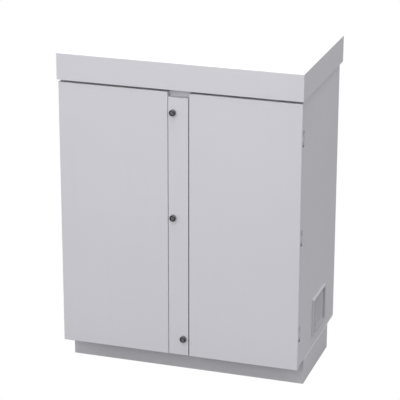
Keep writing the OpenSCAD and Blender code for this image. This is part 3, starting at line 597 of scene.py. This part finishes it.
def finish(slot):
    """The material of a record slot or a shade, made the first time it is asked for."""
    name = slot + "_finish"
    if name in bpy.data.materials:
        return bpy.data.materials[name]
    f = bpy.context.scene.cabinet_finishes
    make, rgb, *values = {
        "cabinet_paint": (painted, f.cabinet, 0.012, f.satin, f.dust, f.peel),
        "plinth_paint": (painted, f.plinth, 0.02, f.satin + 0.05, f.dust * 2, f.peel),
        # mesh_paint: the vent frame's paint is darker than the body's, as painted shade round the vent
        "mesh_paint": (painted, f.mesh, 0.02, f.satin, f.dust, f.peel),
        "zinc": (metallic, f.zinc, 95, 0.10, 0.42, 0.15),
        "lock_metal": (metallic, f.lock, 700, 0.10, 0.38, 0.25),
        "lock_dark": (metallic, f.lock_core, 900, 0.15, 0.45, 0.25),
        "seal_rubber": (moulded, f.rubber, 0.75, 900, 0.4),
        "earth_copper": (metallic, f.copper, 60, 0.14, 0.33, 0.3),
        "insulator": (moulded, f.insulator, 0.4, 500, 0.1),
        "vent_sheet": (painted, f.sheet, 0.02, f.satin, f.dust, f.peel),
        # The trim's dark grey is partly its own rubber colour and partly painted shade along the vent sheet's
        # border
        "edge_trim_and_shade_line": (moulded, f.trim, 0.7, 900, 0.3),
        # A paler copy of the collar metal: the paler tone paints a highlight on the plugs' faces
        "lock_face_highlight": (metallic, f.lock_face_highlight, 700, 0.10, 0.38, 0.25),
        # The bead's pale tone is partly its own colour and partly a painted highlight along the plinth's top
        # edge
        "sealant_and_highlight": (moulded, f.sealant_and_highlight, 0.6, 300, 0.3),
    }[slot]
    return make(name, (*rgb, 1.0), *values)


# ---- Settings ----

def maker(kind, **common):
    """Makes properties of one kind that share some settings."""
    def make(name, description, default, **own):
        return kind(name=name, description=description, default=default, **{**common, **own})
    return make


length = maker(FloatProperty, min=0.0, max=2.0, precision=5, subtype="DISTANCE", unit="LENGTH")
tint = maker(FloatVectorProperty, min=0, max=1, size=3, subtype="COLOR")
share = maker(FloatProperty, min=0, max=1, subtype="FACTOR")
angle = maker(FloatProperty, subtype="ANGLE", unit="ROTATION")
watts = maker(FloatProperty, unit="POWER")
focal = maker(FloatProperty, unit="CAMERA")
point = maker(FloatVectorProperty, subtype="TRANSLATION", unit="LENGTH")


class CabinetSizes(PropertyGroup):
    sheet: length("Sheet", "Thickness of the folded sheet steel", 0.002)
    roof_fold: length("Roof fold", "Radius of the roof's folded top edges", 0.004)
    door_fold: length("Door fold", "Radius of the doors' folded edges", 0.003)
    post_fold: length("Post fold", "Radius of the lock post's folded edges", 0.0025)
    body_fold: length("Body fold", "Radius of the side panels' folds", 0.004)
    corner: length("Corner", "Radius of the welded corners of the trays", 0.0015)
    edge: length("Edge", "Rounding of cut sheet edges", 0.0004)
    slot_pitch: length("Slot pitch", "Distance between the vent's slots along a row", 0.020)
    row_pitch: length("Row pitch", "Distance between the rows of the vent's slots", 0.008)
    slot_length: length("Slot length", "Length of each of the vent's slots", 0.0135)
    slot_height: length("Slot height", "Height of each of the vent's slots", 0.0038)
    mesh_sheet: length("Vent sheet", "Thickness of the vent's frame and perforated sheet", 0.0012)
    key_slot: length("Key slot", "Width of the slot across a lock's plug", 0.0026)
    key_slot_depth: length("Key slot depth", "Depth of the slot across a lock's plug", 0.005)
    key_slot_turn: angle("Key slot turn", "Angle of the slot to the level, lock open", math.radians(37))


class CabinetFinishes(PropertyGroup):
    cabinet: tint("Cabinet", "Powder coat of the body, doors, roof and post", PAINT)
    plinth: tint("Plinth", "Powder coat of the plinth", PAINT)
    # Darker than the body's paint: painted shade round the vent
    mesh: tint("Vent frame", "Powder coat of the vent's frame", (0.49, 0.486, 0.512))
    sheet: tint("Vent sheet", "Powder coat of the vent's perforated sheet", PAINT)
    # Partly the rubber's own colour, partly painted shade along the vent sheet's border
    trim: tint("Vent trim", "Rubber trim round the vent's window", (0.36, 0.36, 0.37))
    # Partly the bead's own colour, partly a painted highlight along the plinth's top edge
    sealant_and_highlight: tint("Sealant", "Bead between the plinth and the side panels", (0.84, 0.835, 0.86))
    zinc: tint("Zinc", "Galvanised inner parts", (0.62, 0.635, 0.65))
    lock: tint("Lock", "Lock collars", (0.25, 0.25, 0.257))
    # Paler than the collars: painted highlight on the plugs' faces
    lock_face_highlight: tint("Lock face", "Slotted faces of the lock plugs", (0.34, 0.34, 0.35))
    lock_core: tint("Lock core", "Lock plugs", (0.045, 0.045, 0.048))
    rubber: tint("Rubber", "Door seals", (0.018, 0.018, 0.02))
    copper: tint("Copper", "Earth bar", (0.72, 0.36, 0.22))
    insulator: tint("Insulator", "Posts under the earth bar", (0.30, 0.03, 0.02))
    satin: share("Satin", "Roughness of the powder coat", 0.55)
    peel: share("Orange peel", "Strength of the powder coat's orange peel", 0.12)
    dust: share("Dust", "Amount of road dust", 0.05)


class CabinetStudio(PropertyGroup):
    azimuth: angle("Azimuth", "Camera's turn to the right of the doors' middle", math.radians(17.9624))
    elevation: angle("Elevation", "Camera's angle above the horizon", math.radians(19.5945))
    roll: angle("Roll", "Camera's turn about its own axis", math.radians(0.1012))
    place: point("Camera place", "Where the camera stands", (2.2329, -6.9155, 3.2576))
    lens: focal("Lens", "Focal length on a 36 mm sensor", 168.53)
    fill: share("Fill", "Even light from all round", 0.917, max=10)
    overhead: watts("Overhead", "Power of the soft light above", 70.0)
    front: watts("Front", "Power of the soft light in front", 9.2)
    low: watts("Low", "Power of the low light in front", 15.5)
    left: watts("Left", "Power of the low light on the left", 2.7)
    floor: share("Floor", "How much light the floor throws back", 0.25)


# ---- Operators ----

class Builder:
    """Runs an operator's build with the cabinet's sizes."""
    def execute(self, context):
        self.build(context.scene.cabinet_sizes)
        return {"FINISHED"}


class CABINET_OT_roof(Builder, Operator):
    """Builds the deep cap roof: a folded tray, open below"""
    bl_idname = "cabinet.roof"
    bl_label = "Roof"

    def build(self, s):
        lo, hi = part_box("roof")
        shape = folded_tray((lo.x, hi.x, lo.y, hi.y), s.roof_fold, s.corner, (hi.z - lo.z,),
                            ((1, 0, 0), (0, 1, 0), (0, 0, -1), (0, 0, hi.z)))
        dress(new_piece("roof_cap", shape, "cabinet", "cabinet_paint", ("roof",)), s.sheet, s.edge)


def seal_bulb(node):
    """A door's seal: a half-round section carried round a rounded rectangle."""
    lo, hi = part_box(node)
    t = np.linspace(0, math.pi, 9)
    across = SEAL_WIDTH / 2 - (SEAL_WIDTH / 2 - 0.0006) * np.cos(t)
    rise = (hi.y - lo.y) * (0.25 + 0.75 * np.sin(t) ** 0.8)
    section = [(0.0, 0.0), *zip(across, rise), (SEAL_WIDTH, 0.0)]
    box = (lo.x, hi.x, lo.z, hi.z)
    return ring_stack([stand(rounded_outline(box, SEAL_CORNER, inset), lo.y + up, FRONT_AXES)
                       for inset, up in section], closed=True)


class CABINET_OT_doors(Builder, Operator):
    """Builds the two door leaves, their stiffening frames and their seals"""
    bl_idname = "cabinet.doors"
    bl_label = "Doors"

    def build(self, s):
        for side, outer, inner in (("left", LEFT, RIGHT), ("right", RIGHT, LEFT)):
            door, leaf = side + "_door", side + "_door_leaf"
            lo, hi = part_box(door)
            cuts = [(outer, low, high, *HINGE_SLOT) for low, high in hinge_spans(side)]
            cuts += [cam_cut(level, inner, lo.y) for level in LEVELS if HELD_DOOR[level] == side]
            tray = slotted_tray((lo.x, hi.x, lo.z, hi.z), lo.y, hi.y - lo.y, cuts, s.door_fold, s.corner)
            dress(new_piece(door + "_skin", tray, leaf, "cabinet_paint", (door,)), s.sheet, s.edge)
            copied(door + "_frame", s.edge)
            seal = door + "_seal"
            dress(new_piece(seal + "_bulb", seal_bulb(seal), leaf, "seal_rubber", (seal,), outward=True))


class CABINET_OT_lock_post(Builder, Operator):
    """Builds the fixed post between the doors, with its cam slots, studs and nuts"""
    bl_idname = "cabinet.lock_post"
    bl_label = "Lock post"

    def build(self, s):
        lo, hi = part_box("lock_post")
        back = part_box("centre_mullion")[0].y
        cuts = [cam_cut(level, LEFT if HELD_DOOR[level] == "left" else RIGHT, lo.y) for level in LEVELS]
        box = (lo.x, hi.x - POST_SPARE, lo.z, hi.z)
        tray = slotted_tray(box, lo.y, back - lo.y, cuts, s.post_fold, s.corner)
        dress(new_piece("lock_post_skin", tray, "cabinet", "cabinet_paint", ("lock_post",)), s.sheet, s.edge)
        near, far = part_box("lock_post_nuts")
        nut_radius = 0.0076
        places = corners_of("lock_post_nuts", (0, 0, nut_radius), (1, 1, 4))
        rings = thread(STUD_RADIUS, hi.y - back + STUD_SUNK)
        studs = [turned(rings, (p[0], back - STUD_SUNK, p[2]), (0, 1, 0), 20) for p in places]
        dress(new_piece("lock_post_studs", together(studs), "cabinet", "zinc"))
        rings = hex_nut(nut_radius, far.y - near.y, STUD_RADIUS + HAIR)
        nuts = [turned(rings, (p[0], near.y, p[2]), (0, 1, 0)) for p in places]
        dress(new_piece("lock_post_nut_set", together(nuts), "cabinet", "zinc", ("lock_post_nuts",)))


def side_panel_shape(node, s):
    """Side panel: jamb flange, fold, side, fold and rear flange, carried up z with cells left out."""
    lo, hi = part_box(node)
    side = node.split("_")[0]
    right = side == "right"
    inner, outer, sign = (lo.x, hi.x, 1) if right else (hi.x, lo.x, -1)
    r = s.body_fold
    wide, deep = HINGE_NOTCH
    notch_y = lo.y + deep
    near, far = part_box("vent_cover")
    window_y = (near.y + WINDOW_INSET[0], far.y - WINDOW_INSET[0])
    window_z = (near.z + WINDOW_INSET[1], far.z - WINDOW_INSET[1])
    front = [(inner, lo.y), (outer - sign * wide, lo.y)]
    fold = [(outer - sign * r + sign * r * math.sin(a), lo.y + r - r * math.cos(a)) for a in QUARTER_TURN]
    wall = [(outer, notch_y)] + ([(outer, y) for y in window_y] if right else [])
    back = [(outer - sign * r + sign * r * math.cos(a), hi.y - r + r * math.sin(a)) for a in QUARTER_TURN]
    section = np.array(front + fold + wall + back + [(outer - sign * REAR_FLANGE, hi.y)])
    spans = hinge_spans(side)
    heights = {lo.z, hi.z, *(z for span in spans for z in span), *(window_z if right else ())}
    heights = np.array(sorted(heights))
    mid_z = (heights[:-1] + heights[1:]) / 2
    mid = (section[:-1] + section[1:]) / 2
    off_wall = np.abs(mid[:, 0] - outer)
    holes = [(span, (off_wall < wide + 1e-6) & (mid[:, 1] < notch_y)) for span in spans]
    if right:
        holes.append((window_z, (off_wall < 1e-6) & (mid[:, 1] > window_y[0]) & (mid[:, 1] < window_y[1])))
    keep = np.ones((len(mid_z), len(mid)), bool)
    for (low, high), here in holes:
        keep &= ~(((mid_z > low) & (mid_z < high))[:, None] & here[None])
    points, faces = carried_section(section, heights, keep)
    return points, [f[::-1] for f in faces] if right else faces


class CABINET_OT_side_panels(Builder, Operator):
    """Builds the two side panels with their folds, hinge notches and vent window"""
    bl_idname = "cabinet.side_panels"
    bl_label = "Side panels"

    def build(self, s):
        for side in SIDES:
            node = side + "_side_panel"
            piece = new_piece(node + "_skin", side_panel_shape(node, s), "cabinet", "cabinet_paint", (node,))
            dress(piece, s.sheet, s.edge)


class CABINET_OT_vent(Builder, Operator):
    """Builds the vent's frame and its rubber trim, whose darker tones also paint the shade round the vent,
    its perforated sheet and its screws
    """
    bl_idname = "cabinet.vent"
    bl_label = "Vent"

    def build(self, s):
        lo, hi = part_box("vent_cover")
        cover = (lo.y, hi.y, lo.z, hi.z)
        points, faces = framed(cover, [(*ring, VENT_CORNER) for ring in VENT_FRAME], lo.x)
        shape = points, [f[::-1] for f in faces]
        # The frame's darker paint is painted shade round the vent
        dress(new_piece("shaded_vent_frame", shape, "cabinet", "mesh_paint", ("vent_cover",)), s.mesh_sheet)
        # The rubber trim's dark grey also paints the shaded outline round the perforated sheet
        shape = framed(cover, VENT_TRIM, lo.x, closed=True)
        dress(new_piece("vent_edge_trim", shape, "cabinet", "seal_rubber", outward=True, shade="edge_trim_and_shade_line"))
        near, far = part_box("vent_mesh")
        shape = perforated_sheet((near.y, far.y, near.z, far.z), SLOTTED_FIELD, near.x, s.mesh_sheet,
                                 (s.slot_pitch, s.row_pitch), (s.slot_length, s.slot_height))
        new_piece("vent_perforated_sheet", shape, "cabinet", "mesh_paint", ("vent_mesh",), smooth=False,
                  outward=True, shade="vent_sheet")
        radius = 0.003
        rings = pan_head(radius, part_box("vent_screws")[1].x - hi.x)
        heads = [turned(rings, (hi.x, p[1], p[2]), (1, 0, 0), 24)
                 for p in corners_of("vent_screws", (0, radius, radius), (1, 2, 2))]
        dress(new_piece("vent_screw_heads", together(heads), "cabinet", "zinc", ("vent_screws",)))


class CABINET_OT_locks(Builder, Operator):
    """Builds the three lock collars, their plugs with a slotted face, nuts and cams"""
    bl_idname = "cabinet.locks"
    bl_label = "Locks"

    def build(self, s):
        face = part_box("lock_post")[0].y
        near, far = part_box("lock_nuts")
        outwards = (0, -1, 0)
        along = np.array((math.cos(s.key_slot_turn), 0, math.sin(s.key_slot_turn)))
        across = np.cross(along, outwards)
        outline = half_disc(LOCK_PLUG, s.key_slot / 2)
        nut_radius = 0.0135
        nuts = []
        for level in LEVELS:
            lock = level + "_lock"
            lo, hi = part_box(lock + "_housing")
            centre = np.array(((lo.x + hi.x) / 2, face, (lo.z + hi.z) / 2))
            radius, proud = (hi.x - lo.x) / 2, face - lo.y
            shape = turned(collar_rings(radius, proud, face - hi.y), centre, outwards, 64)
            dress(new_piece(lock + "_collar", shape, "cabinet", "lock_metal", (lock + "_housing",)))
            shape = turned(face_rings(radius, proud), centre, outwards, 64, hollow=True)
            dress(new_piece(lock + "_face_ring", shape, "cabinet", "lock_dark", outward=True))
            lo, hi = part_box(lock + "_plug")
            top, back = face - lo.y, -(hi.y - face)
            floor = top - s.key_slot_depth
            shape = turned(plug_rings(back, floor), centre, outwards)
            dress(new_piece(lock + "_core", shape, lock, "lock_dark", (lock + "_plug",)))
            # The slotted face is real; its paler metal tone is a painted highlight
            halves = together([bar(outline, floor - HAIR, top, (way * along, way * across, outwards, centre))
                               for way in (1, -1)])
            dress(new_piece(lock + "_slotted_face", halves, lock, "lock_metal", outward=True,
                            shade="lock_face_highlight"), edge=SMALL_EDGE)
            copied(lock + "_cam", s.edge)
            rings = hex_nut(nut_radius, far.y - near.y, LOCK_BARREL + 0.0002)
            nuts.append(turned(rings, (centre[0], near.y, centre[2]), (0, 1, 0)))
        dress(new_piece("lock_nut_set", together(nuts), "cabinet", "zinc", ("lock_nuts",)))


class CABINET_OT_hinges(Builder, Operator):
    """Builds the hinge leaves, knuckles and pins"""
    bl_idname = "cabinet.hinges"
    bl_label = "Hinges"

    def build(self, s):
        for side in SIDES:
            near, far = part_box(side + "_hinge_pins")
            x, y = (near.x + far.x) / 2, (near.y + far.y) / 2
            pins = []
            for level in LEVELS:
                for half in ("body", "door"):
                    copied(f"{side}_{level}_{half}_hinge", SMALL_EDGE)
                lo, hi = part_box(f"{side}_{level}_door_hinge")
                pins.append(turned(pin_rings((hi.z - lo.z) / 2), (x, y, (lo.z + hi.z) / 2), (0, 0, 1), 32))
            dress(new_piece(side + "_hinge_pin_set", together(pins), side + "_door_leaf", "zinc",
                            (side + "_hinge_pins",)))


class CABINET_OT_body(Builder, Operator):
    """Finishes the plinth, floor, rails and panels, and adds the pale beads between the plinth and the side
    panels, whose pale tone also paints a highlight line, and the rear sill's seal
    """
    bl_idname = "cabinet.body"
    bl_label = "Body"

    def build(self, s):
        for node in ("plinth", "floor_plate", "rear_panel", "top_rail", "bottom_rail", "centre_mullion",
                     "top_panel", "roof_spacers"):
            copied(node, s.edge)
        lo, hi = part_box("plinth")
        for side, x, out in (("left", lo.x, -1), ("right", hi.x, 1)):
            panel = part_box(side + "_side_panel")[0].z
            near, far = x + out * HAIR, x + out * BEAD
            low = hi.z - 0.0012
            section = [(near, low), (far, low), (far, hi.z - 0.0006), (near, panel - 0.0003)]
            shape = bar(section, lo.y + 0.004, hi.y - 0.004, FRONT_AXES)
            # The bead's pale tone paints a highlight line between the plinth and the side panel
            dress(new_piece("plinth_sealant_" + side, shape, "cabinet", "plinth_paint", outward=True,
                            shade="sealant_and_highlight"), edge=BEAD_EDGE)
        plate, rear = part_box("floor_plate")[1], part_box("rear_panel")[0]
        near, far = plate.y + HAIR, rear.y - HAIR
        section = [(near, plate.z - 0.0025), (far, plate.z - 0.0025), (far, plate.z + 0.0015),
                   ((near + far) / 2, plate.z + 0.0024), (near, plate.z + 0.0015)]
        shape = bar(section, -SILL_HALF, SILL_HALF, ((0, 1, 0), (0, 0, 1), (1, 0, 0), (0, 0, 0)))
        dress(new_piece("rear_sill_seal", shape, "cabinet", "seal_rubber", outward=True), edge=BEAD_EDGE)


class CABINET_OT_equipment(Builder, Operator):
    """Finishes the uprights, board, cable rail, gland plate and earth bar"""
    bl_idname = "cabinet.equipment"
    bl_label = "Inside"

    def build(self, s):
        for node in ("left_upright", "right_upright", "equipment_board", "cable_rail", "gland_plate",
                     "earth_bar", "earth_bar_posts", "earth_bar_screws"):
            copied(node, s.edge)


class CABINET_OT_fasteners(Builder, Operator):
    """Builds the bolts and screws that hold the plinth, roof, panels and board"""
    bl_idname = "cabinet.fasteners"
    bl_label = "Fasteners"

    def build(self, s):
        for node in ("floor_bolts", "roof_bolts", "rear_panel_screws", "gland_plate_screws", "board_screws"):
            copied(node, SMALL_EDGE)


class CABINET_OT_stage(Builder, Operator):
    """Builds the floor, the soft lights and the camera"""
    bl_idname = "cabinet.stage"
    bl_label = "Stage"

    def build(self, s):
        scene = bpy.context.scene
        p = scene.cabinet_studio
        mesh = bpy.data.meshes.new("studio_floor")
        a, z = FLOOR_HALF, -FLOOR_DROP
        mesh.from_pydata([(-a, -a, z), (a, -a, z), (a, a, z), (-a, a, z)], [], [(0, 1, 2, 3)])
        floor = bpy.data.objects.new("studio_floor", mesh)
        scene.collection.objects.link(floor)
        mat, tree, shader = blank("studio_floor_finish")
        shader.inputs["Base Color"].default_value = (p.floor, p.floor, p.floor, 1)
        shader.inputs["Roughness"].default_value = 1.0
        shader.inputs["Specular IOR Level"].default_value = 0.0
        seen = put(tree, "LightPath").outputs["Is Camera Ray"]
        pale = put(tree, "Emission", Color=(1, 1, 1, 1), Strength=1.0)
        mix = put(tree, "MixShader", i0=seen, i1=shader.outputs[0], i2=pale.outputs[0])
        wire(tree, next(n for n in tree.nodes if n.type == "OUTPUT_MATERIAL"), Surface=mix.outputs[0])
        mesh.materials.append(mat)

        world = bpy.data.worlds.new("studio_air")
        world.use_nodes = True
        tree = world.node_tree
        tree.nodes.clear()
        seen = put(tree, "LightPath").outputs["Is Camera Ray"]
        fill = put(tree, "Background", Color=(0.98, 0.985, 1, 1), Strength=p.fill)
        plain = put(tree, "Background", Color=(1, 1, 1, 1), Strength=1.0)
        mix = put(tree, "MixShader", i0=seen, i1=fill.outputs[0], i2=plain.outputs[0])
        put(tree, "OutputWorld", Surface=mix.outputs[0])
        scene.world = world

        for name, place, aim, size, power in (
                ("overhead_light", (0.0, 0.0, 4.6), (0, 0, 1.3), 2.6, p.overhead),
                ("front_light", (0.1, -2.6, 3.4), (0, -0.3, 0.9), 1.8, p.front),
                ("low_light", (0.2, -4.4, 2.3), (0, -0.3, 0.5), 1.8, p.low),
                ("left_light", (-3.0, -3.2, 0.9), (0, -0.2, 0.3), 1.4, p.left)):
            light = bpy.data.lights.new(name, "AREA")
            light.shape, light.size, light.energy, light.spread = "SQUARE", size, power, math.radians(120)
            lamp = bpy.data.objects.new(name, light)
            lamp.location = place
            lamp.rotation_euler = (Vector(aim) - Vector(place)).to_track_quat("-Z", "Y").to_euler()
            lamp.visible_camera = False
            scene.collection.objects.link(lamp)

        az, el, roll = p.azimuth, p.elevation, p.roll
        right = np.array((math.cos(az), math.sin(az), 0))
        back = np.array((math.sin(az) * math.cos(el), -math.cos(az) * math.cos(el), math.sin(el)))
        up = np.cross(back, right)
        right, up = right * math.cos(roll) + up * math.sin(roll), up * math.cos(roll) - right * math.sin(roll)
        camera = bpy.data.objects.new("camera", bpy.data.cameras.new("camera"))
        camera.data.lens, camera.data.sensor_width = p.lens, 36.0
        camera.data.clip_start, camera.data.clip_end = 0.1, 100.0
        turn = Matrix(np.column_stack((right, up, back)).tolist()).to_4x4()
        camera.matrix_world = Matrix.Translation(p.place) @ turn
        scene.collection.objects.link(camera)
        scene.camera = camera
        scene.view_settings.view_transform = "Standard"
        scene.view_settings.look = "None"


class CABINET_PT_panel(Panel):
    """Lists the cabinet's pieces and settings"""
    bl_idname = "CABINET_PT_panel"
    bl_label = "Street cabinet"
    bl_space_type = "VIEW_3D"
    bl_region_type = "UI"
    bl_category = "Cabinet"

    def draw(self, context):
        for operator in OPERATORS:
            self.layout.operator(operator.bl_idname)
        for name in SETTINGS:
            settings = getattr(context.scene, name)
            box = self.layout.box()
            for key in settings.__annotations__:
                box.prop(settings, key)


SETTINGS = {"cabinet_sizes": CabinetSizes, "cabinet_finishes": CabinetFinishes,
            "cabinet_studio": CabinetStudio}
OPERATORS = (CABINET_OT_stage, CABINET_OT_body, CABINET_OT_side_panels, CABINET_OT_roof, CABINET_OT_doors,
             CABINET_OT_lock_post, CABINET_OT_locks, CABINET_OT_hinges, CABINET_OT_vent, CABINET_OT_equipment,
             CABINET_OT_fasteners)


def register():
    for cls in (*SETTINGS.values(), *OPERATORS, CABINET_PT_panel):
        bpy.utils.register_class(cls)
    for name, cls in SETTINGS.items():
        setattr(bpy.types.Scene, name, PointerProperty(type=cls))


def unregister():
    for name in SETTINGS:
        delattr(bpy.types.Scene, name)
    for cls in (CABINET_PT_panel, *reversed(OPERATORS), *SETTINGS.values()):
        bpy.utils.unregister_class(cls)


def main():
    register()
    for operator in OPERATORS:
        getattr(bpy.ops.cabinet, operator.bl_idname.split(".")[1])()
    bpy.context.view_layer.update()


if __name__ == "__main__":
    main()
